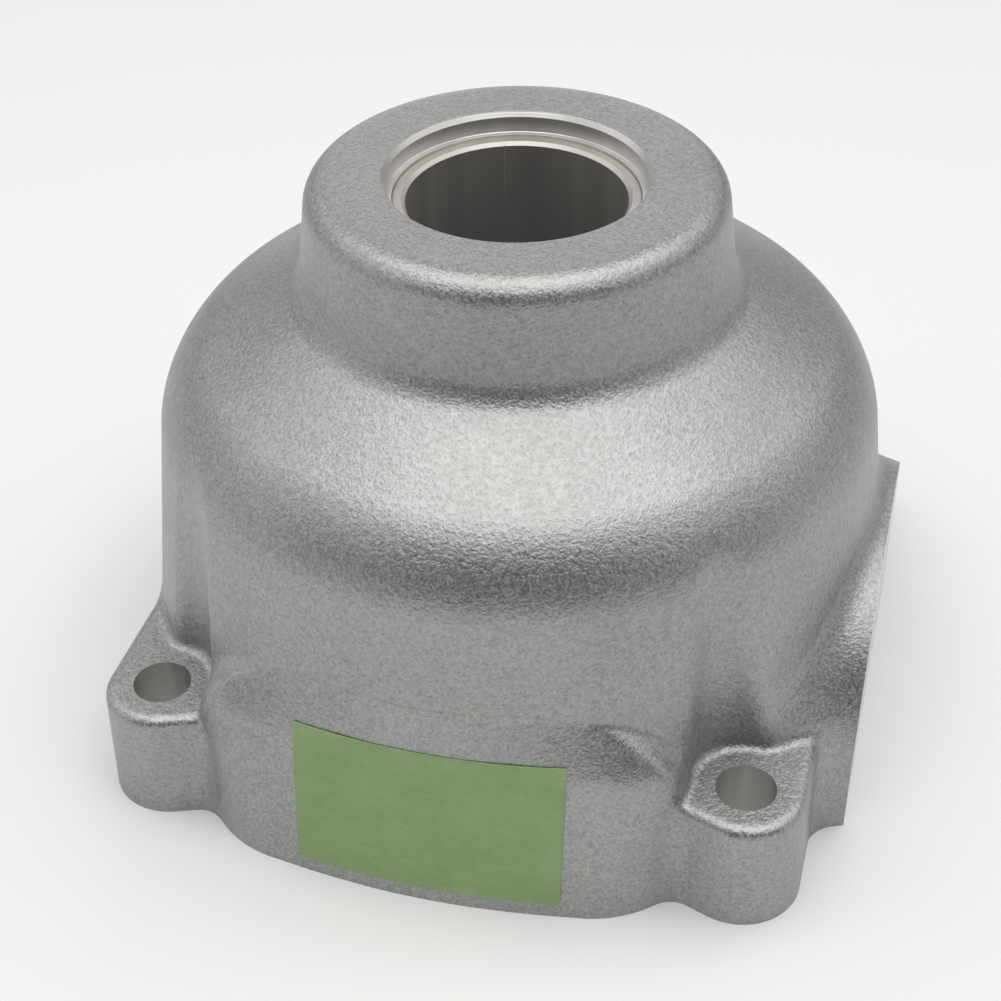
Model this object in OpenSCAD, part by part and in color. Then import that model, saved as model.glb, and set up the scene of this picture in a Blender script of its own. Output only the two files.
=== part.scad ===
// Front housing of an impact wrench: a cast bell that carries the output
// shaft in a pressed-in plain bush. It stands on its mating face at z = 0,
// with the nose up the Z axis, the label face on -Y and the side pad on +X.

/* [Bell] */
// Height from the mating face to the nose face
housing_h = 68; // [62:0.5:76]
// Outer radius of the bell at the mating face
bell_r = 47.1; // [45:0.1:49]
// Draft of the cast walls
draft_deg = 6.7; // [4:0.1:8]
// Fall of the dome below the horizontal
dome_deg = 32; // [26:0.5:36]
// Radius between the dome and the wall
shoulder_r = 13.5; // [6:0.5:16]
// Thickness of the bell's side wall
wall_t = 5.5; // [4:0.1:6]
// Thickness of the dome
dome_t = 5; // [4:0.1:7]

/* [Nose] */
// Outer radius of the neck under its rounded rim
neck_r = 24; // [22:0.1:27]
// Height of the neck above the dome
neck_h = 12.6; // [9:0.1:16]
// Radius of the neck's rim
rim_r = 2.6; // [0.5:0.1:4]
// Radius where the neck meets the dome
neck_root_r = 1.6; // [0.4:0.1:3]
// Radius of the boss that carries the bush inside the bell
hub_r = 19; // [17.5:0.1:21]
// Step from the bush's lower end to the boss's end face
hub_step = 0.4; // [0.2:0.1:1.5]

/* [Seal seat] */
// Radius of the machined seat above the bush
seat_r = 14.6; // [14.4:0.1:16]
// Depth of the seat below the nose face
seat_depth = 2.5; // [1.5:0.1:6]
// Width of the chamfer at the mouth of the seat
mouth_w = 0.45; // [0.2:0.05:1]
// Height of the chamfer at the mouth of the seat
mouth_h = 0.6; // [0.3:0.05:1]

/* [Bush] */
// Bore of the bush, a radius
bush_bore_r = 12.5; // [10:0.25:12.75]
// Wall of the bush
bush_wall = 1.5; // [1:0.1:1.75]
// Length of the bush
bush_len = 20; // [14:0.5:24]
// Depth of the bush's upper end below the seat
bush_set = 0.3; // [0.1:0.1:1]
// Chamfer on the bush's inner edges
bush_chamfer = 0.4; // [0.2:0.05:0.5]
// Chamfer on the bush's outer edges
bush_lead = 0.2; // [0.1:0.05:0.3]

/* [Mating flange] */
// Thickness of the corner lugs
flange_h = 14.6; // [10:0.1:20]
// Diameter of the bolt circle
bolt_pcd = 98; // [96:0.5:102]
// Diameter of the bolt holes
bolt_hole_d = 6.8; // [5.5:0.1:7.5]
// Radius of a lug round its bolt hole, at the mating face
lug_r = 7.1; // [6:0.1:8.5]
// Draft of the lugs
lug_draft_deg = 1.6; // [0.5:0.1:3]
// Rounding along the lugs' upper edge
lug_edge = 0.7; // [0.2:0.1:1]
// Slope of a lug's end face towards the middle of the housing
lug_slope_deg = 20; // [10:1:30]
// Radius of the bolt head's clearance above a lug
channel_r = 6.3; // [5.5:0.1:6.8]
// Radius of the register that centres the motor casing
register_r = 42; // [41.5:0.1:43]
// Depth of the register
register_depth = 4; // [2:0.5:8]

/* [Label face] */
// How far the middle of the label face lies inside the bell's round
label_set = 0.3; // [0.1:0.1:1.5]
// Radius of the label face across its width
label_r = 104.4; // [80:0.2:140]
// Radius of the label face's ends
label_end_r = 14; // [10:0.5:18]
// Turn of the label face before its ends start, at the mating face
label_turn_deg = 10.4; // [9:0.1:11]
// Turn of the label face before its ends start, at its top
label_top_turn_deg = 13.6; // [11:0.1:14.5]
// Height of the label face
label_h = 27.2; // [22:0.2:32]
// Height from which the label face leans back into the bell
label_lean_z = 19.5; // [16:0.1:21]
// Half the full width of the label face
label_w = 31; // [29:0.1:33]
// Radius of the label face's upper corners, seen from the front
label_corner_r = 20; // [12:0.5:21]

/* [Side pad] */
// How far the pad's face lies inside the bell's round, at the mating face
pad_set = 1.3; // [0.5:0.1:2.5]
// Half the width of the pad
pad_w = 24; // [20:0.5:25]
// Height of the pad
pad_h = 27.4; // [24:0.2:32]
// Radius of the pad's upper corners
pad_corner_r = 16; // [10:0.5:22]
// Rounding along the pad's edge
pad_edge = 1.2; // [0.5:0.1:2]

/* [Tape] */
// Width of the strip of tape
tape_w = 31; // [20:1:36]
// Height of the strip of tape
tape_h = 20.8; // [12:0.2:24]
// Height of the tape's lower edge above the mating face
tape_z = 0.8; // [0.2:0.1:2]
// Offset of the tape from the middle of the label face
tape_x = 0.85; // [-2:0.05:2]
// Thickness of the tape
tape_t = 0.15; // [0.1:0.01:0.3]

/* [Hidden] */

// Smoothness of the turned, the cast and the blended shapes
turned_fn = 120;
label_fn = 360;
blend_fn = 32;
// Overshoot of each cut past the face that it opens
cut = 1;
// Reach of the cutting blocks past the outside of the casting
beyond = 20;
// Depth that the label face's block is let into the bell
let_in = 1.5;
// Thickness of the slabs that a hull is stretched between
skin = 0.01;

draft = tan(draft_deg);
fall = tan(dome_deg);
neck_z = housing_h - neck_h;
neck_base_r = neck_r + draft * (neck_h - rim_r);
shoulder_z = (neck_z - fall * (bell_r - neck_base_r)) / (1 - fall * draft);
shoulder_corner_r = bell_r - draft * shoulder_z;

inner_r = bell_r - wall_t;
inner_neck_z = neck_z - dome_t / cos(dome_deg);
inner_shoulder_z = (inner_neck_z - fall * (inner_r - neck_base_r)) / (1 - fall * draft);
inner_shoulder_r = shoulder_r - wall_t;
hub_root_z = inner_neck_z - fall * (hub_r - neck_base_r);

seat_z = housing_h - seat_depth;
bush_r = bush_bore_r + bush_wall;
bush_top_z = seat_z - bush_set;
bush_bottom_z = bush_top_z - bush_len;
hub_end_z = bush_bottom_z - hub_step;

bolt_xy = bolt_pcd / 2 / sqrt(2);
lug_draft = tan(lug_draft_deg);
// The lug's outline runs from the bolt boss to two posts inside the bell
post_r = 3;
post_reach = bolt_xy / 2;
post_in = lug_r - post_r;
label_y = bell_r - label_set;
label_cy = label_r - label_y;
pad_x = bell_r - pad_set;

// The corner q of an outline as an arc, between its neighbours p and s; the
// third number of q is the radius, held to what the two edges have room for: half of an
// edge whose other end is rounded too, and nearly all of one whose other end is sharp
function corner(p, q, s, steps) =
    let (a = [q[0], q[1]], to_p = [p[0], p[1]] - a, to_s = [s[0], s[1]] - a,
         u = to_p / norm(to_p), v = to_s / norm(to_s), half = acos(u * v) / 2,
         room_p = norm(to_p) * (p[2] > 0 ? 0.49 : 0.98),
         room_s = norm(to_s) * (s[2] > 0 ? 0.49 : 0.98),
         r = min(q[2], min(room_p, room_s) * tan(half)),
         c = a + (u + v) / norm(u + v) * r / sin(half),
         from = a + u * r / tan(half) - c, till = a + v * r / tan(half) - c,
         start = atan2(from[1], from[0]),
         turn = (atan2(till[1], till[0]) - start + 540) % 360 - 180)
    [for (i = [0 : steps]) c + r * [cos(start + turn * i / steps), sin(start + turn * i / steps)]];

// An outline of [x, y, radius] points with its corners rounded
function rounded(pts, steps = 8) =
    [for (i = [0 : len(pts) - 1])
        let (p = pts[(i + len(pts) - 1) % len(pts)], q = pts[i], s = pts[(i + 1) % len(pts)])
        each q[2] > 0 ? corner(p, q, s, steps) : [[q[0], q[1]]]];

module revolved(pts, steps = 8) {
    rotate_extrude($fn = turned_fn) polygon(rounded(pts, steps));
}

module bell() {
    revolved([
        [0, 0, 0],
        [bell_r, 0, 0],
        [shoulder_corner_r, shoulder_z, shoulder_r],
        [neck_base_r, neck_z, neck_root_r],
        [neck_r, housing_h - rim_r, 0],
        [neck_r - draft * rim_r, housing_h, rim_r],
        [0, housing_h, 0]
    ], 10);
}

// The open inside of the bell, round the boss that holds the bush
module cavity() {
    revolved([
        [0, -cut, 0],
        [register_r, -cut, 0],
        [register_r, register_depth, 0],
        [inner_r - draft * register_depth, register_depth, 0],
        [inner_r - draft * inner_shoulder_z, inner_shoulder_z, inner_shoulder_r],
        [hub_r + draft * (hub_root_z - hub_end_z), hub_root_z, 2],
        [hub_r, hub_end_z, 0.8],
        [0, hub_end_z, 0]
    ]);
}

// The bush's bore through the nose and the machined seat above it
module nose_bore() {
    revolved([
        [0, hub_end_z - cut, 0],
        [bush_r, hub_end_z - cut, 0],
        [bush_r, seat_z, 0],
        [seat_r, seat_z, 0],
        [seat_r, housing_h - mouth_h, 0],
        [seat_r + mouth_w, housing_h, 0],
        [seat_r + mouth_w, housing_h + cut, 0],
        [0, housing_h + cut, 0]
    ]);
}

module at_bolts() {
    for (sx = [1, -1], sy = [1, -1]) scale([sx, sy, 1]) translate([bolt_xy, bolt_xy, 0]) children();
}

// A drafted post with its upper edge taken off, r at the mating face
module post(r) {
    cylinder(h = flange_h - lug_edge, r1 = r, r2 = r - lug_draft * (flange_h - lug_edge), $fn = blend_fn);
    cylinder(h = flange_h, r = r - lug_draft * flange_h - lug_edge, $fn = blend_fn);
}

// One corner lug round its bolt axis, with the places of its two inner posts
module lug(side_post, end_post) {
    hull() {
        post(lug_r);
        translate(side_post) post(post_r);
        translate(end_post) post(post_r);
    }
}

// Where a lug's end flank has its inner post: back along the slope from the bolt axis
flank_post = [-post_reach * cos(lug_slope_deg) + post_in * sin(lug_slope_deg),
    post_in * cos(lug_slope_deg) - post_reach * sin(lug_slope_deg)];

module lugs() {
    for (sx = [1, -1], sy = [1, -1]) translate([sx * bolt_xy, sy * bolt_xy, 0])
        lug([sx * post_in, -sy * post_reach], [sx * flank_post[0], sy * flank_post[1]]);
}

// An arc round the centre c from one angle to another
function arc(c, r, from, till, steps) =
    [for (i = [0 : steps]) let (a = from + (till - from) * i / steps) c + r * [cos(a), sin(a)]];

// The label face's plan at height z, grown outwards: a shallow arc that turns in on a
// tighter one at each end. The face has the draft, and its ends stay upright.
function label_plan(z, growth) =
    let (turn = label_turn_deg + (label_top_turn_deg - label_turn_deg) * z / label_h,
         r = label_r - draft * z + growth, end_r = label_end_r - draft * z + growth,
         x = (r - end_r) * sin(turn), y = label_cy - (r - end_r) * cos(turn))
    concat(
        [[-x - end_r, -bell_r / 4]],
        arc([-x, y], end_r, 180, 270 - turn, 12),
        arc([0, label_cy], r, 270 - turn, 270 + turn, 48),
        arc([x, y], end_r, 270 + turn, 360, 12),
        [[x + end_r, -bell_r / 4]]
    );

// The label face's outline seen from the front, as a block in front of the bell
module label_zone() {
    translate([0, -bell_r / 2, 0]) rotate([90, 0, 0]) linear_extrude(bell_r)
        polygon(rounded([
            [-label_w, 0, 0],
            [label_w, 0, 0],
            [label_w, label_h, label_corner_r],
            [-label_w, label_h, label_corner_r]
        ], 16));
}

module label_wedge(height) {
    reach = label_r + beyond;
    linear_extrude(height) polygon([
        [0, label_cy],
        [-reach * sin(label_turn_deg), label_cy - reach * cos(label_turn_deg)],
        [reach * sin(label_turn_deg), label_cy - reach * cos(label_turn_deg)]
    ]);
}

// A thin slab of the label face's plan at height z
module label_slab(z, growth) {
    translate([0, 0, z - skin]) linear_extrude(skin) polygon(label_plan(z, growth));
}

// The block behind the label face, grown outwards. Its upper part runs back to the
// bell's round, and ends there as far inside it as the middle of the face lies.
module label_block(growth) {
    top_r = label_y - draft * label_h + growth;
    hull() {
        label_slab(-cut, growth);
        label_slab(label_lean_z, growth);
    }
    hull() {
        label_slab(label_lean_z, growth);
        translate([0, 0, label_h - skin]) linear_extrude(skin)
            polygon(arc([0, 0], top_r, 195, 345, 60));
    }
}

module label_boss() {
    intersection() {
        label_zone();
        label_block(0);
    }
}

// The bell's wall in front of the label face, and as deep behind it as the block is let in
module label_relief() {
    difference() {
        intersection() {
            label_zone();
            label_wedge(label_h);
        }
        translate([0, label_cy, -cut])
            cylinder(h = label_h + 2 * cut, r1 = label_r - let_in + draft * cut,
                r2 = label_r - let_in - draft * (label_h + cut), $fn = label_fn);
    }
}

function pad_outline(inset) =
    rounded([
        [-pad_w + inset, 0, 0],
        [pad_w - inset, 0, 0],
        [pad_w - inset, pad_h - inset, pad_corner_r - inset],
        [-pad_w + inset, pad_h - inset, pad_corner_r - inset]
    ], 12);

// A slab of the pad's outline, from x to x + t
module pad_slab(x, t, inset) {
    translate([x, 0, 0]) rotate([90, 0, 90]) linear_extrude(t) polygon(pad_outline(inset));
}

module side_pad() {
    hull() {
        pad_slab(pad_x / 2, pad_x / 2 - pad_edge, 0);
        pad_slab(pad_x - pad_edge, pad_edge, pad_edge);
    }
}

module head_housing() {
    color([0.62, 0.63, 0.61]) difference() {
        union() {
            difference() {
                bell();
                label_relief();
            }
            label_boss();
            lugs();
            side_pad();
        }
        cavity();
        nose_bore();
        at_bolts() {
            translate([0, 0, -cut]) cylinder(h = flange_h + 2 * cut, d = bolt_hole_d, $fn = 64);
            translate([0, 0, flange_h])
                cylinder(h = housing_h, r1 = channel_r, r2 = channel_r + lug_draft * housing_h, $fn = 64);
        }
        translate([pad_x, -bell_r, -cut]) cube([beyond, 2 * bell_r, housing_h]);
    }
}

module anvil_bush() {
    color([0.28, 0.27, 0.26]) translate([0, 0, bush_bottom_z]) revolved([
        [bush_bore_r, bush_chamfer, 0],
        [bush_bore_r + bush_chamfer, 0, 0],
        [bush_r - bush_lead, 0, 0],
        [bush_r, bush_lead, 0],
        [bush_r, bush_len - bush_lead, 0],
        [bush_r - bush_lead, bush_len, 0],
        [bush_bore_r + bush_chamfer, bush_len, 0],
        [bush_bore_r, bush_len - bush_chamfer, 0]
    ]);
}

module masking_tape() {
    color([0.5, 0.6, 0.43]) intersection() {
        difference() {
            label_block(tape_t);
            label_block(0);
        }
        translate([tape_x - tape_w / 2, -label_y - cut, tape_z]) cube([tape_w, label_y / 2, tape_h]);
    }
}

head_housing();
anvil_bush();
masking_tape();
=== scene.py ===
import math

import bmesh
import bpy
import numpy as np
from mathutils import Matrix, Vector


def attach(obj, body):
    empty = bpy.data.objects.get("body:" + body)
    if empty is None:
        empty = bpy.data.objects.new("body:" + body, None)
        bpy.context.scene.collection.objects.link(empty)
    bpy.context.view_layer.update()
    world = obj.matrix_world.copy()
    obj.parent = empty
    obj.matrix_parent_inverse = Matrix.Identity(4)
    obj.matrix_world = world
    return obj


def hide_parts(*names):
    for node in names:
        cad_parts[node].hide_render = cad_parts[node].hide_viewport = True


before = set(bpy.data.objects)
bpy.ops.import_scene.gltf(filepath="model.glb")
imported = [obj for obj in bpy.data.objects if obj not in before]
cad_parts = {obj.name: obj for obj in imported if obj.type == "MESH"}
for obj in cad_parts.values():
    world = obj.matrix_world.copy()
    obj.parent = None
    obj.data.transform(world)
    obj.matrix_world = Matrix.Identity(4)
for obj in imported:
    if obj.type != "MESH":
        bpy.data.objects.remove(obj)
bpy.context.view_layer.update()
MM = 0.001


# Camera. It stands where the picture was taken from: a little to the right of
# the label face, looking down on the nose, far enough off that the circles of
# the nose come out as the slim ellipses of a long lens.
camera_place = Vector((47.46, -180.48, 168.96)) * MM
camera_turn_deg = 15.47
camera_pitch_deg = 38.23
camera_roll_deg = -0.98
camera_lens_mm = 68.04

camera_data = bpy.data.cameras.new("camera")
camera_data.lens = camera_lens_mm
camera_data.sensor_width = 36
camera_data.sensor_fit = "HORIZONTAL"
camera_data.clip_start = 0.005
camera = bpy.data.objects.new("camera", camera_data)
camera.matrix_world = (
    Matrix.Translation(camera_place)
    @ Matrix.Rotation(math.radians(camera_turn_deg), 4, "Z")
    @ Matrix.Rotation(math.radians(90 - camera_pitch_deg), 4, "X")
    @ Matrix.Rotation(math.radians(camera_roll_deg), 4, "Z")
)
bpy.context.scene.collection.objects.link(camera)
bpy.context.scene.camera = camera


# Casting. Bell, neck, corner lugs, label face and side pad are poured in one
# piece of aluminium and shot-blasted, so every cast edge is rounded and every
# inner corner has a fillet. Bores, bolt holes and the mating face are cut after.
housing_h = 68.0
bell_r = 47.1
draft_deg = 6.7
draft = math.tan(math.radians(draft_deg))
dome_fall = math.tan(math.radians(30.6))
dome_in_neck = 2.0
shoulder_blend = 5.0
neck_r = 23.85
neck_h = 13.0
rim_r = 2.6
neck_root_r = 1.6

flange_h = 14.6
bolt_xy = 98.0 / 2 / math.sqrt(2)
bolt_hole_r = 3.4
lug_r = 7.1
lug_draft = math.tan(math.radians(1.6))
lug_slope = math.radians(20)
lug_edge_r = 1.1
lug_root_r = 1.1
valley_r = 2.0
valley_top = flange_h - 1.0
valley_run = 3.0
channel_r = 6.4
channel_sink = 2.0
channel_blend = 1.0

label_set = 0.3
label_y = bell_r - label_set
label_r = 104.4
label_end_r = 14.0
label_turn = math.radians(10.4)
label_extra_turn = math.radians(3.2)
label_h = 27.2
label_lean_z = 19.5
label_lean_soft = 0.8
label_w = 31.0
label_corner_r = 20.0
label_edge_r = 0.6
label_root_share = 0.7
label_root_least, label_root_most = 0.1, 1.2
label_cut_w = 18.0
label_cut_root_r, label_cut_edge_r = 0.3, 0.2

pad_x = 45.45
pad_w = 23.8
pad_h = 28.6
pad_corner_r = 20.0
pad_flare = 0.22
pad_spare = 1.5
pad_root_r = 1.8
pad_foot_r = 5.5
pad_foot_top = 24.0
pad_foot_run = 8.0

foot_spare = 1.0


def round_max(a, b, r):
    """The overlap of two solids, by their distances, with its edge rounded."""
    u = np.maximum(a + r, 0)
    v = np.maximum(b + r, 0)
    return np.minimum(np.maximum(a, b), -r) + np.hypot(u, v)


def round_min(a, b, r):
    """Two solids joined, by their distances, with a fillet between them."""
    return -round_max(-a, -b, r)


def bell_distance(x, y, z):
    """The drafted wall, the sloping dome and the neck, run into each other."""
    r = np.hypot(x, y)
    wall = (r - (bell_r - draft * z)) / math.hypot(1, draft)
    neck_z = housing_h - neck_h
    neck_base = neck_r + draft * (neck_h - rim_r)
    dome = (z - neck_z + dome_fall * (r - neck_base)) / math.hypot(1, dome_fall)
    body = np.maximum(round_max(wall, dome, shoulder_blend), z - neck_z - dome_in_neck)
    side = (r - neck_r + draft * (z - housing_h + rim_r)) / math.hypot(1, draft)
    neck = round_max(side, z - housing_h, rim_r)
    return round_min(body, neck, neck_root_r)


def label_distance(x, y, z):
    """The label face's plan: a shallow arc whose ends turn in on smaller ones."""
    x = np.abs(x)
    centre_y = label_r - label_y
    turn = label_turn + label_extra_turn * z / label_h
    end_x = (label_r - label_end_r) * np.sin(turn)
    end_y = centre_y - (label_r - label_end_r) * np.cos(turn)
    middle = np.hypot(x, y - centre_y) - label_r
    end = np.hypot(x - end_x, y - end_y) - label_end_r
    on_end = x * np.cos(turn) > (centre_y - y) * np.sin(turn)
    return np.where(on_end, end, middle) + draft * z


def label_front(x, y, z):
    """The label face, which leans back above a height to run into the bell's round."""
    label = label_distance(x, y, z)
    inside_bell = bell_distance(x, y, z) + label_set
    above = z - label_lean_z
    risen = (above + np.hypot(above, label_lean_soft)) / 2
    lean = np.clip(risen / (label_h - label_lean_z), 0, 1)
    return label + lean * np.maximum(inside_bell - label, 0)


def label_zone(x, z):
    """The label's outline from the front: flat on top, with wide round corners."""
    u = np.maximum(np.abs(x) - label_w + label_corner_r, 0)
    v = np.maximum(z - label_h + label_corner_r, 0)
    return np.hypot(u, v) - label_corner_r


def lug_distance(x, y, z):
    """All four lugs at once: a flat side, a sloping end and the round between them."""
    dx = np.abs(x) - bolt_xy
    dy = np.abs(y) - bolt_xy
    across = dy * math.cos(lug_slope) - dx * math.sin(lug_slope)
    along = dx * math.cos(lug_slope) + dy * math.sin(lug_slope)
    flat = np.maximum(dx, across)
    outline = np.where((dy > 0) & (along > 0), np.hypot(dx, dy), flat) - lug_r
    return round_max(outline + lug_draft * z, z - flange_h, lug_edge_r)


def channel_distance(x, y, z):
    """Room for the bolt heads above the lugs, round behind and straight to the front."""
    behind = np.minimum(np.abs(y) - bolt_xy, 0)
    away = np.hypot(np.abs(x) - bolt_xy, behind)
    return away - channel_r - lug_draft * (z - flange_h)


def pad_distance(x, y, z):
    """The side pad: round-topped, flared towards its root, a little too thick as cast."""
    u = np.abs(y) - pad_w + pad_corner_r
    v = z - pad_h + pad_corner_r
    outline = np.hypot(np.maximum(u, 0), np.maximum(v, 0)) + np.minimum(np.maximum(u, v), 0)
    outline = outline - pad_corner_r + pad_flare * (x - pad_x)
    return np.maximum(np.maximum(outline, pad_x / 2 - x), x - pad_x - pad_spare)


def casting_distance(x, y, z):
    """The raw casting: bell, label face, pad, head room and lugs, joined in that order."""
    bell = bell_distance(x, y, z)
    front = label_front(x, y, z)
    zone = np.maximum(label_zone(x, z), y + bell_r / 4)
    root_r = np.clip(label_root_share * (bell - front), label_root_least, label_root_most)
    body = round_min(bell, round_max(front, zone, label_edge_r), root_r)

    middle = np.maximum(zone, np.abs(x) - label_cut_w)
    kept = round_min(-middle, front, label_cut_root_r)
    body = round_max(body, kept, label_cut_edge_r)

    foot = np.clip((pad_foot_top - z) / pad_foot_run, 0, 1)
    root_r = pad_root_r + (pad_foot_r - pad_root_r) * foot
    body = round_min(body, pad_distance(x, y, z), root_r)

    room = np.maximum(channel_distance(x, y, z), flange_h - channel_sink - z)
    body = round_max(body, -room, channel_blend)

    low = np.clip((valley_top - z) / valley_run, 0, 1)
    root_r = lug_root_r + (valley_r - lug_root_r) * low
    body = round_min(body, lug_distance(x, y, z), root_r)
    return np.maximum(body, -foot_spare - z)


def surface_net(distance, low, high, step):
    """The zero surface of a distance function as a quad mesh on a grid of cubes."""
    axes = [np.arange(a, b + step, step) for a, b in zip(low, high)]
    gx, gy, gz = np.meshgrid(*axes, indexing="ij")
    d = distance(gx, gy, gz)
    inside = d < 0
    shape = np.array(d.shape)
    total = np.zeros(tuple(shape - 1) + (3,))
    count = np.zeros(tuple(shape - 1))
    corners = [(i, j, k) for i in (0, 1) for j in (0, 1) for k in (0, 1)]

    def at(block, c):
        return block[tuple(slice(c[n], c[n] + shape[n] - 1) for n in range(3))]

    for a in corners:
        for axis in range(3):
            if a[axis]:
                continue
            b = tuple(1 if n == axis else a[n] for n in range(3))
            da, db = at(d, a), at(d, b)
            crossed = at(inside, a) != at(inside, b)
            share = np.where(crossed, da / np.where(crossed, da - db, 1), 0)
            for n in range(3):
                total[..., n] += crossed * (a[n] + (share if n == axis else 0))
            count += crossed
    used = count > 0
    number = np.full(tuple(shape - 1), -1)
    number[used] = np.arange(used.sum())
    cell = np.argwhere(used)
    points = (cell + total[used] / count[used][:, None]) * step + np.array(low)

    faces = []
    for axis in range(3):
        u, v = (axis + 1) % 3, (axis + 2) % 3
        first = [slice(None)] * 3
        second = [slice(None)] * 3
        for n in (u, v):
            first[n] = second[n] = slice(1, -1)
        first[axis], second[axis] = slice(0, -1), slice(1, None)
        s0, s1 = inside[tuple(first)], inside[tuple(second)]
        base = np.argwhere(s0 != s1)
        outward = s0[s0 != s1]
        base[:, u] += 1
        base[:, v] += 1
        ring = []
        for du, dv in ((-1, -1), (0, -1), (0, 0), (-1, 0)):
            c = base.copy()
            c[:, u] += du
            c[:, v] += dv
            ring.append(number[c[:, 0], c[:, 1], c[:, 2]])
        quad = np.stack(ring, 1)
        quad[~outward] = quad[~outward][:, ::-1]
        faces.append(quad)
    return points, np.concatenate(faces)


def settle(points, distance, rounds=3, h=0.02, least_slope=0.3, most_step=0.3):
    """Moves each point onto the surface, along the slope of the distance."""
    for _ in range(rounds):
        x, y, z = points.T
        d = distance(x, y, z)
        slope = np.stack([
            distance(x + h, y, z) - distance(x - h, y, z),
            distance(x, y + h, z) - distance(x, y - h, z),
            distance(x, y, z + h) - distance(x, y, z - h),
        ], 1) / (2 * h)
        steep = np.maximum((slope ** 2).sum(1), least_slope)
        points = points - slope * np.clip(d / steep, -most_step, most_step)[:, None]
    return points


def mesh_object(name, points, faces):
    """A mesh from points in millimetres and the point numbers of its faces."""
    corners = [list(map(int, face)) for face in faces]
    mesh = bpy.data.meshes.new(name)
    mesh.from_pydata((np.asarray(points) * MM).tolist(), [], corners)
    mesh.update()
    piece = bpy.data.objects.new(name, mesh)
    bpy.context.scene.collection.objects.link(piece)
    return piece


def turned_faces(rows, sides, closed):
    """The quads between the rings of a turned shape."""
    faces = []
    for i in range(rows if closed else rows - 1):
        for k in range(sides):
            m = (k + 1) % sides
            j = (i + 1) % rows
            faces.append((i * sides + k, i * sides + m, j * sides + m, j * sides + k))
    return faces


def turned(profile, sides, centre=(0, 0)):
    """A closed solid turned round an upright axis from (radius, height) points."""
    points = []
    for r, z in profile:
        for k in range(sides):
            a = math.tau * k / sides
            points.append((centre[0] + r * math.cos(a), centre[1] + r * math.sin(a), z))
    sides_only = turned_faces(len(profile), sides, False)
    n = len(profile)
    caps = [list(range(sides))[::-1], [(n - 1) * sides + k for k in range(sides)]]
    return points, sides_only + caps


grid_step = 0.58
grid_low = (-48.6, -48.9, -1.6)
grid_high = (48.4, 48.6, 69.2)
net_points, net_faces = surface_net(casting_distance, grid_low, grid_high, grid_step)
net_points = settle(net_points, casting_distance)
casting = mesh_object("casting", net_points, net_faces)

seat_r, seat_z = 14.6, 65.5
seat_corner = 0.08
nose_chamfer_w, nose_chamfer_h = 0.45, 0.6
bush_r = 14.0
mouth_break_w, mouth_break_h = 0.05, 0.02
hub_r, hub_end_z = 19.0, 44.8
hub_edge_w, hub_edge_h = 0.5, 0.6
hub_root = [(20.6, 52.9), (19.9, 52.4), (19.5, 51.2)]
register_r, register_depth = 42.0, 4.0
register_chamfer = 0.3
bell_wall = 5.5
inner_r = bell_r - bell_wall
inner_shoulder_z = 32.0
inner_shoulder_r = inner_r - draft * inner_shoulder_z
inner_round_r = 8.0
inner_round_in, inner_round_up = 8.05, 0.9
inner_round_end_deg = 58
hole_chamfer = 0.25
over = 2.0


def arc(cx, cz, r, start, end, steps):
    """Points of an arc in a turned profile, its angles in degrees."""
    turns = [math.radians(start + (end - start) * i / steps) for i in range(steps + 1)]
    return [(cx + r * math.cos(a), cz + r * math.sin(a)) for a in turns]


nose_cut = turned([
    (bush_r, hub_end_z - 3 * over),
    (bush_r, seat_z - mouth_break_h),
    (bush_r + mouth_break_w, seat_z),
    (seat_r - seat_corner, seat_z),
    (seat_r, seat_z + seat_corner),
    (seat_r, housing_h - nose_chamfer_h),
    (seat_r + nose_chamfer_w, housing_h),
    (seat_r + nose_chamfer_w, housing_h + over),
], 256)

cavity_cut = turned([
    (register_r + register_chamfer, -over),
    (register_r + register_chamfer, 0),
    (register_r, register_chamfer),
    (register_r, register_depth),
    (inner_r - draft * register_depth, register_depth),
    (inner_shoulder_r, inner_shoulder_z),
    *arc(inner_shoulder_r - inner_round_in, inner_shoulder_z + inner_round_up,
         inner_round_r, draft_deg, inner_round_end_deg, 10),
    *hub_root,
    (hub_r, hub_end_z + hub_edge_h),
    (hub_r - hub_edge_w, hub_end_z),
    (bush_r - 1, hub_end_z),
], 192)


def cut(piece, points, faces):
    """Machines a shape out of a piece."""
    tool = mesh_object("tool", points, faces)
    bm = bmesh.new()
    bm.from_mesh(tool.data)
    bmesh.ops.recalc_face_normals(bm, faces=bm.faces)
    bm.to_mesh(tool.data)
    bm.free()
    step = piece.modifiers.new("cut", "BOOLEAN")
    step.operation = "DIFFERENCE"
    step.solver = "MANIFOLD"
    step.object = tool
    bpy.context.view_layer.update()
    cut_piece = piece.evaluated_get(bpy.context.evaluated_depsgraph_get())
    result = bpy.data.meshes.new_from_object(cut_piece)
    piece.modifiers.remove(step)
    piece.data = result
    bpy.data.objects.remove(tool)


def block(a, b):
    """A box between two opposite corners."""
    points = [(x, y, z) for x in (a[0], b[0]) for y in (a[1], b[1]) for z in (a[2], b[2])]
    ends = [(0, 1, 3, 2), (4, 6, 7, 5)]
    walls = [(0, 4, 5, 1), (2, 3, 7, 6), (0, 2, 6, 4), (1, 5, 7, 3)]
    return points, ends + walls


aside, below, above = 60, -10, 80
cut(casting, *block((-aside, -aside, below), (aside, aside, 0)))
cut(casting, *block((pad_x, -aside, below), (aside, aside, above)))
cut(casting, *cavity_cut)
cut(casting, *nose_cut)
for sx in (-1, 1):
    for sy in (-1, 1):
        cut(casting, *turned([
            (bolt_hole_r + 2 * hole_chamfer, -over),
            (bolt_hole_r + hole_chamfer, 0),
            (bolt_hole_r, hole_chamfer),
            (bolt_hole_r, flange_h + over),
        ], 96, (sx * bolt_xy, sy * bolt_xy)))

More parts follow.
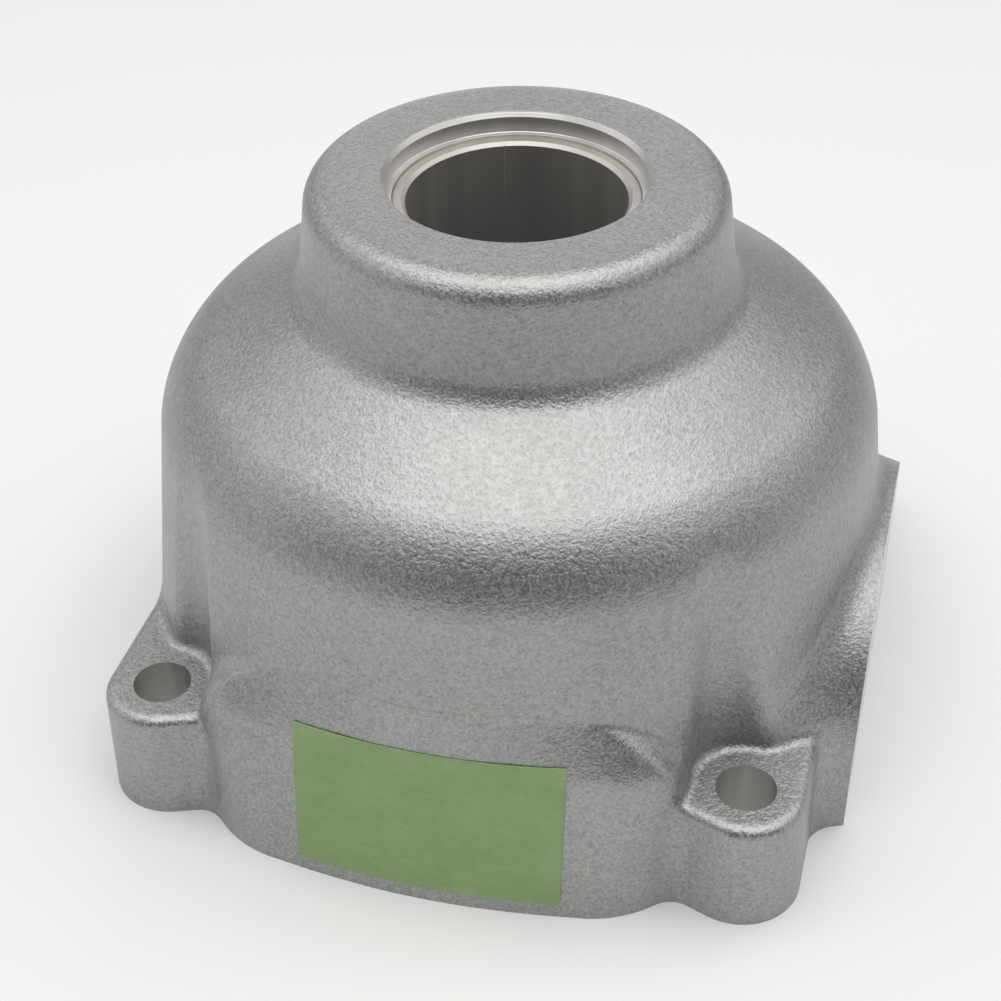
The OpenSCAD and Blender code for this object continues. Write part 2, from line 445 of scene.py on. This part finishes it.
casting_sharp_deg = 32
casting.data.name = "casting"
casting.data.shade_smooth()
casting.data.set_sharp_from_angle(angle=math.radians(casting_sharp_deg))


class Node:
    """A shader socket that takes part in ordinary sums."""

    tree = None

    def __init__(self, socket):
        self.socket = socket

    @classmethod
    def add(cls, kind, settings=None, out=0, **inputs):
        """A node of that kind, its settings made first, then its sockets' values or links."""
        node = cls.tree.nodes.new(kind)
        for key, value in (settings or {}).items():
            setattr(node, key, value)
        for key, value in inputs.items():
            index = int(key[1:]) if key[0] == "i" and key[1:].isdigit() else key.replace("_", " ")
            if isinstance(value, Node):
                cls.tree.links.new(value.socket, node.inputs[index])
            elif value is not None:
                node.inputs[index].default_value = value
        return cls(node.outputs[out]) if node.outputs else None

    def output(self, index):
        """Another output of the same node."""
        return Node(self.socket.node.outputs[index])

    def math(self, operation, other=None, swap=False):
        a, b = (other, self) if swap else (self, other)
        return Node.add("ShaderNodeMath", {"operation": operation}, i0=a, i1=b)

    def __add__(self, other):
        return self.math("ADD", other)

    def __radd__(self, other):
        return self.math("ADD", other)

    def __sub__(self, other):
        return self.math("SUBTRACT", other)

    def __rsub__(self, other):
        return self.math("SUBTRACT", other, True)

    def __mul__(self, other):
        return self.math("MULTIPLY", other)

    def __rmul__(self, other):
        return self.math("MULTIPLY", other)

    def __truediv__(self, other):
        return self.math("DIVIDE", other)

    def __rtruediv__(self, other):
        return self.math("DIVIDE", other, True)

    def clamp(self):
        return Node.add("ShaderNodeClamp", Value=self)

    def ramp(self, low, high):
        """0 below low, 1 above high and a straight run between them."""
        return ((self - low) / (high - low)).clamp()


def new_material(name):
    material = bpy.data.materials.new(name)
    material.use_nodes = True
    Node.tree = material.node_tree
    material.node_tree.nodes.clear()
    return material


def surface(**inputs):
    """The material's one surface, with its values and links."""
    shader = Node.add("ShaderNodeBsdfPrincipled", **inputs)
    Node.add("ShaderNodeOutputMaterial", Surface=shader)


def object_place():
    return Node.add("ShaderNodeTexCoord", out=3)


def noise(place, scale, detail=2.0, roughness=0.5):
    return Node.add(
        "ShaderNodeTexNoise", Vector=place, Scale=scale, Detail=detail, Roughness=roughness)


def bump(height, strength, distance):
    return Node.add("ShaderNodeBump", Strength=strength, Distance=distance, Height=height)


def blend_colours(factor, a, b):
    return Node.add("ShaderNodeMix", {"data_type": "RGBA"}, out=2, i0=factor, i6=a, i7=b)


def blasted_aluminium():
    """Shot-blasted casting: an even sandy grain of small bright facets and darker pits."""
    pit, facet = (0.275, 0.277, 0.268, 1), (0.475, 0.479, 0.466, 1)
    grain_depth = 0.08 * MM
    material = new_material("blasted_aluminium")
    place = object_place()
    grain = noise(place, scale=1700.0, detail=2.0, roughness=0.6)
    specks = noise(place, scale=3400.0, detail=1.0)
    cloud = noise(place, scale=90.0, detail=3.0)
    tone = (grain - 0.5) * 1.2 + (specks - 0.5) * 1.2 + (cloud - 0.5) * 0.4 + 0.5
    colour = blend_colours(tone.clamp(), pit, facet)
    normal = bump(grain + specks * 0.4, 1.0, grain_depth)
    rough = (specks - 0.5) * 0.3 + 0.45
    surface(Base_Color=colour, Metallic=1.0, Roughness=rough, Normal=normal)
    return material


def bored_aluminium():
    """Bored and faced metal: brighter, with the fine rings that the tool leaves."""
    dull, bright = (0.58, 0.57, 0.545, 1), (0.72, 0.71, 0.685, 1)
    ring_depth = 0.1 * MM
    material = new_material("bored_aluminium")
    place = object_place()
    height = Node.add("ShaderNodeSeparateXYZ", Vector=place, out=2)
    along_height = {"noise_dimensions": "1D"}
    rings = Node.add("ShaderNodeTexNoise", along_height, W=height, Scale=5000.0, Detail=2.0)
    cloud = noise(place, scale=300.0)
    colour = blend_colours(cloud, dull, bright)
    rough = (cloud - 0.5) * 0.1 + 0.36
    normal = bump(rings, 0.2, ring_depth)
    surface(Base_Color=colour, Metallic=0.85, Roughness=rough, Normal=normal)
    return material


def streaks_along_z(place, scale):
    """A noise drawn out along the height."""
    x = Node.add("ShaderNodeSeparateXYZ", Vector=place)
    stretched = Node.add("ShaderNodeCombineXYZ", X=x, Y=x.output(1), Z=x.output(2) * 0.05)
    return noise(stretched, scale, detail=3.0, roughness=0.6)


def drilled_aluminium():
    """The bolt holes: drilled, then scored along their length by the bolts."""
    dull, bright = (0.86, 0.855, 0.84, 1), (0.98, 0.975, 0.96, 1)
    score_depth = 0.1 * MM
    material = new_material("drilled_aluminium")
    scores = streaks_along_z(object_place(), 700.0)
    colour = blend_colours(scores.ramp(0.3, 0.7), dull, bright)
    normal = bump(scores, 0.3, score_depth)
    surface(Base_Color=colour, Metallic=1.0, Roughness=0.36, Normal=normal)
    return material


casting.data.materials.clear()
for make in (blasted_aluminium, bored_aluminium, drilled_aluminium):
    casting.data.materials.append(make())

middles = np.empty(len(casting.data.polygons) * 3)
casting.data.polygons.foreach_get("center", middles)
face_x, face_y, face_z = middles.reshape(-1, 3).T / MM
reach = np.hypot(face_x, face_y)
from_bolt = np.hypot(np.abs(face_x) - bolt_xy, np.abs(face_y) - bolt_xy)
skin = 0.01
hole_reach = bolt_hole_r + 0.8 * hole_chamfer
register_ledge = 1.2
is_nose = (reach < seat_r + nose_chamfer_w - skin) & (face_z > hub_end_z - over)
is_hole = (from_bolt < hole_reach) & (face_z < flange_h)
is_face = (face_z < skin) | (face_x > pad_x - skin)
by_register = (reach > register_r - register_ledge) & (reach < register_r + register_chamfer + 0.1)
is_register = by_register & (face_z < register_depth + skin)
is_hub_end = (reach < hub_r - hub_edge_w + 0.1) & (face_z < hub_end_z + skin)
is_bored = is_nose | is_face | is_register | is_hub_end
finish_of_face = np.where(is_hole, 2, np.where(is_bored, 1, 0))
casting.data.polygons.foreach_set("material_index", finish_of_face.astype(np.int32))
casting.data.update()

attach(casting, "root")
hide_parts("head_housing")


# Bush. A plain bearing of steel strip with a dark running layer, rolled into a
# ring and pressed into the nose until it sits just below the seal seat. The
# joint of the strip shows as one upright line in the bore.
bush_bore_r = 12.5
bush_top = 65.2
bush_len = 20.0
bush_chamfer = 0.4
bush_edge = 0.2
bush_outside_r = bush_r - 0.01
seam_turn = math.radians(111)
seam_half, seam_floor_half = 0.12, 0.084
seam_depth = 0.04


def bush_mesh():
    """The ring, with a shallow groove down its bore where the strip's ends meet."""
    bottom = bush_top - bush_len
    profile = [
        (bush_bore_r, bottom + bush_chamfer),
        (bush_bore_r + bush_chamfer, bottom),
        (bush_r - bush_edge, bottom),
        (bush_outside_r, bottom + bush_edge),
        (bush_outside_r, bush_top - bush_edge),
        (bush_r - bush_edge, bush_top),
        (bush_bore_r + bush_chamfer, bush_top),
        (bush_bore_r, bush_top - bush_chamfer),
    ]
    sides = 256
    half, floor_half = seam_half / bush_bore_r, seam_floor_half / bush_bore_r
    stations = [
        (seam_turn - half, 0),
        (seam_turn - floor_half, 1),
        (seam_turn + floor_half, 1),
        (seam_turn + half, 0),
    ]
    for k in range(1, sides):
        a = seam_turn + math.tau * k / sides
        if a < seam_turn + math.tau - half * 1.5:
            stations.append((a, 0))
    points = []
    for r, z in profile:
        for a, deep in stations:
            on_inside = r < (bush_bore_r + bush_r) / 2
            open_r = r + seam_depth * deep if on_inside else r
            points.append((open_r * math.cos(a), open_r * math.sin(a), z))
    return points, turned_faces(len(profile), len(stations), True)


def dark_running_layer():
    """The lining of the bore: dark and half polished, with faint upright streaks."""
    dark, light = (0.28, 0.275, 0.265, 1), (0.40, 0.39, 0.37, 1)
    streak_depth = 0.05 * MM
    material = new_material("running_layer")
    streaks = streaks_along_z(object_place(), 260.0)
    colour = blend_colours(streaks.ramp(0.2, 0.8), dark, light)
    rough = (streaks - 0.5) * 0.15 + 0.42
    normal = bump(streaks, 0.1, streak_depth)
    surface(Base_Color=colour, Metallic=0.6, Roughness=rough, Normal=normal)
    return material


def bright_steel():
    """The bare edges of the strip, which show as bright rings round the bore."""
    dull, bright = (0.50, 0.475, 0.445, 1), (0.64, 0.61, 0.575, 1)
    material = new_material("bright_steel")
    cloud = noise(object_place(), scale=500.0, detail=3.0)
    colour = blend_colours(cloud, dull, bright)
    surface(Base_Color=colour, Metallic=0.8, Roughness=(cloud - 0.5) * 0.15 + 0.45)
    return material


bush = mesh_object("bush", *bush_mesh())
bush_bm = bmesh.new()
bush_bm.from_mesh(bush.data)
bmesh.ops.recalc_face_normals(bush_bm, faces=bush_bm.faces)
bush_bm.to_mesh(bush.data)
bush_bm.free()
bush.data.materials.append(dark_running_layer())
bush.data.materials.append(bright_steel())
for face in bush.data.polygons:
    middle = face.center / MM
    on_bore = math.hypot(middle.x, middle.y) < bush_bore_r + seam_depth / 2
    face.material_index = 0 if on_bore else 1
bush_sharp_deg = 25
bush.data.shade_smooth()
bush.data.set_sharp_from_angle(angle=math.radians(bush_sharp_deg))
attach(bush, "root")
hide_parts("anvil_bush")


# Masking tape. A torn-off strip of green creped paper, stuck along the foot of
# the label face to keep it clean. It follows the face's arc and lean.
tape_w, tape_h = 31.0, 19.2
tape_z = 1.9
tape_x = 0.7
tape_t = 0.15
tape_gap = 0.02


def tape_mesh():
    """A thin sheet over the label face, each point found by halving along its depth."""
    across, up = 124, 84
    halvings = 30
    x, z = np.meshgrid(
        tape_x + tape_w * (np.arange(across + 1) / across - 0.5),
        tape_z + tape_h * np.arange(up + 1) / up)
    points = []
    for growth in (tape_gap, tape_t):
        inner, outer = np.full(x.shape, -bell_r * 0.8), np.full(x.shape, -bell_r - 1)
        for _ in range(halvings):
            y = (inner + outer) / 2
            outside = label_front(x, y, z) > growth
            outer = np.where(outside, y, outer)
            inner = np.where(outside, inner, y)
        points += np.stack([x, y, z], -1).reshape(-1, 3).tolist()
    n = (across + 1) * (up + 1)
    row = across + 1
    faces = []
    for j in range(up):
        for i in range(across):
            a = j * row + i
            faces.append((n + a, n + a + 1, n + a + row + 1, n + a + row))
            faces.append((a, a + row, a + row + 1, a + 1))
    rim = list(range(across)) + [j * row + across for j in range(up)]
    rim += [up * row + i for i in range(across, 0, -1)] + [j * row for j in range(up, 0, -1)]
    for a, b in zip(rim, rim[1:] + rim[:1]):
        faces.append((a, b, n + b, n + a))
    return points, faces


def creped_paper():
    """Green crepe: fine wrinkles across the strip, matt, a little mottled."""
    dark, light = (0.215, 0.32, 0.138, 1), (0.305, 0.44, 0.207, 1)
    wrinkle_depth = 0.2 * MM
    material = new_material("green_crepe")
    place = object_place()
    x = Node.add("ShaderNodeSeparateXYZ", Vector=place)
    stretched = Node.add("ShaderNodeCombineXYZ", X=x * 0.5, Y=x.output(1), Z=x.output(2))
    wrinkles = noise(stretched, scale=1500.0, detail=3.0, roughness=0.6)
    cloud = noise(place, scale=160.0, detail=3.0)
    tone = (wrinkles - 0.5) * 0.9 + (cloud - 0.5) * 0.7 + 0.5
    colour = blend_colours(tone.clamp(), dark, light)
    surface(Base_Color=colour, Roughness=0.75, Normal=bump(wrinkles, 0.6, wrinkle_depth))
    return material


tape = mesh_object("tape", *tape_mesh())
tape.data.materials.append(creped_paper())
tape_sharp_deg = 40
tape.data.shade_smooth()
tape.data.set_sharp_from_angle(angle=math.radians(tape_sharp_deg))
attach(tape, "root")
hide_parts("masking_tape")


# Studio. A pale table under one broad soft light from above. The room round it
# glows from both sides and from behind and is dark in front, which leaves the
# dark band below the dome's bright crown. The lights stand square to the camera.
lamp_place = (0, -0.15, 0.75)
lamp_data = bpy.data.lights.new("overhead", "AREA")
lamp_data.shape = "RECTANGLE"
lamp_data.size = 0.8
lamp_data.size_y = 0.9
lamp_data.energy = 5.0
lamp = bpy.data.objects.new("overhead", lamp_data)
studio_turn = Matrix.Rotation(math.radians(camera_turn_deg), 4, "Z")
lamp.matrix_world = studio_turn @ Matrix.Translation(lamp_place)
bpy.context.scene.collection.objects.link(lamp)

floor_half = 60.0
floor_signs = ((-1, -1), (1, -1), (1, 1), (-1, 1))
floor_corners = [(x * floor_half, y * floor_half, 0) for x, y in floor_signs]
floor_mesh = bpy.data.meshes.new("floor")
floor_mesh.from_pydata(floor_corners, [], [(0, 1, 2, 3)])
floor = bpy.data.objects.new("floor", floor_mesh)
bpy.context.scene.collection.objects.link(floor)
floor_mesh.materials.append(new_material("pale_table"))
surface(Base_Color=(0.80, 0.80, 0.80, 1), Roughness=0.9)

# Each glow: its turn from the camera's side and its rise above the table, in
# degrees, and its strength. The power narrows it.
glow_power = 12.0
glows = [
    (-90, 12, 0.8),
    (90, 12, 0.5),
    (-135, 12, 0.2),
    (180, 12, 1.6),
    (-60, 42, 0.75),
    (60, 42, 1.0),
    (-120, 42, 1.4),
    (120, 42, 1.7),
]
world = bpy.data.worlds.new("studio")
bpy.context.scene.world = world
world.use_nodes = True
world.node_tree.nodes.clear()
Node.tree = world.node_tree
direction = Node.add("ShaderNodeTexCoord", out=0)
level = 0.0
for turn_deg, rise_deg, strength in glows:
    turn, rise = math.radians(turn_deg), math.radians(rise_deg)
    flat = math.cos(rise)
    forward = Vector((math.sin(turn) * flat, -math.cos(turn) * flat, math.sin(rise)))
    aim = tuple(studio_turn @ forward)
    dot = {"operation": "DOT_PRODUCT"}
    near = Node.add("ShaderNodeVectorMath", dot, out=1, i0=direction, i1=aim)
    level = near.math("MAXIMUM", 0.0).math("POWER", glow_power) * strength + level
glow = Node.add("ShaderNodeBackground", Color=(1, 1, 1, 1), Strength=level)
Node.add("ShaderNodeOutputWorld", Surface=glow)

bpy.context.scene.view_settings.view_transform = "Standard"
